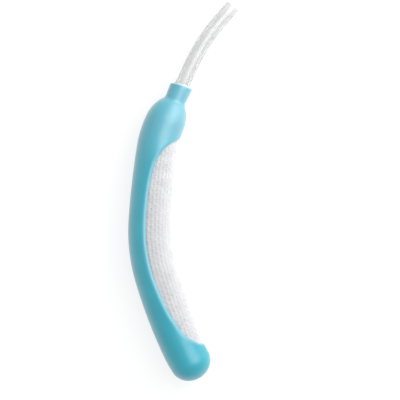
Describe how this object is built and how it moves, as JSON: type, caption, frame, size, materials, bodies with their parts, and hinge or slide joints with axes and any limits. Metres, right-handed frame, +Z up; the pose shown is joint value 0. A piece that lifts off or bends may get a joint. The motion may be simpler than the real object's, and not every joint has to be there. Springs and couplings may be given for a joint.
{
  "type": "external catheter suction wick",
  "caption": "Curved suction wick: a soft teal casing with a long window of white ribbed gauze on its hollow side, a collar and a flexible clear suction tube.",
  "frame": {"origin": "centre of the whole object's box in X and Y, at its lowest point, which is where the casing lies on a surface", "axes": "+Y from the closed tail towards the open end of the tube, +X towards the hollow side of the curve, which holds the gauze window, +Z up, square to the plane of the curve"},
  "size_m": [0.0715, 0.2466, 0.0288],
  "materials": {
    "casing_elastomer": "satin, soft moulded teal elastomer",
    "core_fibre": "matte, porous spun fibre",
    "gauze": "matte, ribbed knit gauze",
    "clear_pvc": "clear, glossy, flexible PVC",
    "elastic": "matte, pale elastic",
    "adhesive": "clear, cured adhesive"
  },
  "bodies": {
    "wick_body": {"casing": "casing_elastomer", "wick_core": "core_fibre", "gauze_sleeve": "gauze", "gauze_band_lower": "elastic", "gauze_band_upper": "elastic", "outlet_seal": "adhesive", "suction_tube": "clear_pvc"},
    "free_tube": {"tube_free_end": "clear_pvc"}
  },
  "joints": [
    {"name": "tube_flex", "type": "hinge", "parent": "wick_body", "child": "free_tube", "pos_m": [0.00223, 0.07557, 0.01442], "axis": [0, 0, 1], "range_deg": [-25, 25], "stiffness_Nm_per_rad": 0.15}
  ]
}
